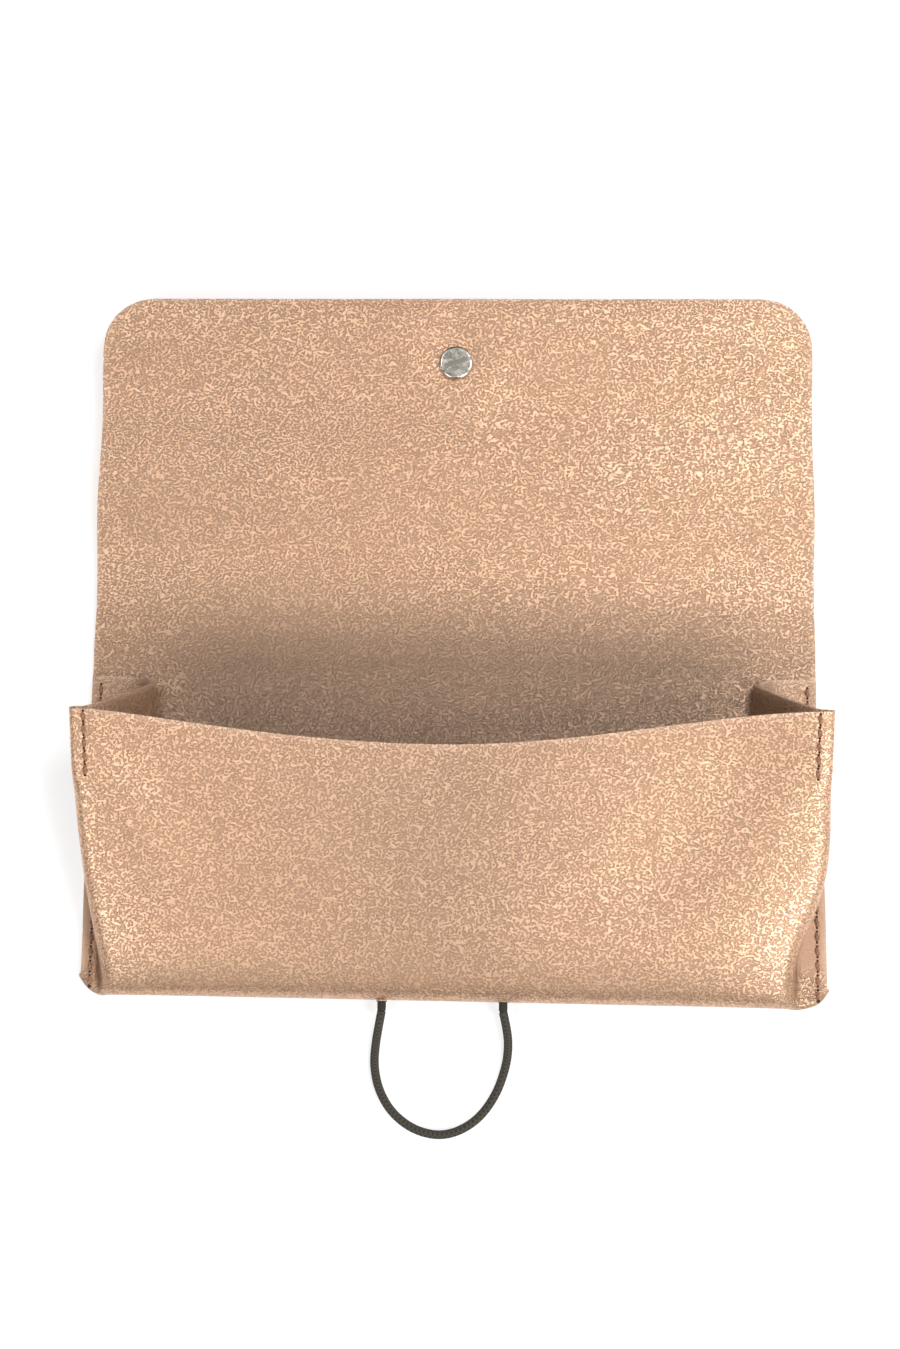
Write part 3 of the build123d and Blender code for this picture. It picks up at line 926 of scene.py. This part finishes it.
# Soft lights as (name, place in metres, size in metres, watts).
LIGHTS = (
    ("key", (0.500, -0.480, 0.707), 0.45, 5.4),
    ("high_right", (0.332, 0.352, 0.883), 0.30, 3.2),
    ("low_left", (-0.500, -0.480, 0.707), 0.45, 3.0),
    ("top", (0.104, -0.160, 0.978), 0.25, 1.2),
    ("side_right", (0.906, 0.020, 0.423), 0.50, 1.6),
    ("high_left", (-0.332, 0.352, 0.883), 0.30, 1.4),
)
SKY_LIGHT, SKY_SEEN = 0.05, 0.9    # strength of the sky as light and as the backdrop


def soft_light(name, place, size, power):
    """Square soft light aimed at the case."""
    light = bpy.data.lights.new(name, "AREA")
    light.shape = "SQUARE"
    light.size = size
    light.energy = power
    obj = bpy.data.objects.new(name, light)
    obj.location = place
    obj.rotation_euler = (Vector((0, 0.02, 0)) - Vector(place)).to_track_quat("-Z", "Y").to_euler()
    bpy.context.scene.collection.objects.link(obj)


class CASE_OT_stage(bpy.types.Operator):
    """Pale floor, soft lights and the camera"""
    bl_idname = "case.stage"
    bl_label = "Stage"

    def execute(self, context):
        scene = context.scene
        bm = bmesh.new()
        bmesh.ops.create_grid(bm, x_segments=1, y_segments=1, size=2.5,
                              matrix=Matrix.Translation((0, 0, -0.0001)))
        floor = new_object("floor", bm, [finish_of("studio_floor", studio_floor)])
        world = scene.world or bpy.data.worlds.new("studio")
        scene.world = world
        world.use_nodes = True
        tree = world.node_tree
        sky = tree.nodes["Background"]
        sky.inputs["Color"].default_value = (1.0, 0.99, 0.98, 1)
        seen = tree.nodes.new("ShaderNodeLightPath").outputs["Is Camera Ray"]
        strength = tree.nodes.new("ShaderNodeMapRange")
        strength.inputs["To Min"].default_value = SKY_LIGHT
        strength.inputs["To Max"].default_value = SKY_SEEN
        tree.links.new(seen, strength.inputs["Value"])
        tree.links.new(strength.outputs["Result"], sky.inputs["Strength"])
        scene.view_settings.view_transform = "Standard"
        for light in LIGHTS:
            soft_light(*light)
        lens = bpy.data.cameras.new("camera")
        lens.lens = CAMERA_LENS
        lens.sensor_width = 36.0
        lens.clip_start, lens.clip_end = 0.01, 20.0
        camera = bpy.data.objects.new("camera", lens)
        camera.location = CAMERA_PLACE
        camera.rotation_euler = Euler([math.radians(a) for a in CAMERA_TURN], "XYZ")
        scene.collection.objects.link(camera)
        scene.camera = camera
        return {"FINISHED"}


class CASE_PT_panel(bpy.types.Panel):
    """Lists the case's makers and its sizes and colours"""
    bl_idname = "CASE_PT_panel"
    bl_label = "Glasses case"
    bl_space_type = "VIEW_3D"
    bl_region_type = "UI"
    bl_category = "Case"

    def draw(self, context):
        layout = self.layout
        for maker in MAKERS:
            layout.operator(maker.bl_idname)
        for group in (context.scene.case_sizes, context.scene.case_colours):
            box = layout.box()
            for key in group.bl_rna.properties.keys():
                if key not in ("rna_type", "name"):
                    box.prop(group, key)


MAKERS = (CASE_OT_stage, CASE_OT_loop, CASE_OT_elastic_ends, CASE_OT_pouch, CASE_OT_flap, CASE_OT_stitches,
          CASE_OT_stud)
CLASSES = (CaseSizes, CaseColours, *MAKERS, CASE_PT_panel)


def register():
    for cls in CLASSES:
        bpy.utils.register_class(cls)
    bpy.types.Scene.case_sizes = PointerProperty(type=CaseSizes)
    bpy.types.Scene.case_colours = PointerProperty(type=CaseColours)


def unregister():
    del bpy.types.Scene.case_colours
    del bpy.types.Scene.case_sizes
    for cls in reversed(CLASSES):
        bpy.utils.unregister_class(cls)


def main():
    register()
    for maker in MAKERS:
        group, name = maker.bl_idname.split(".")
        getattr(getattr(bpy.ops, group), name)()


if __name__ == "__main__":
    main()
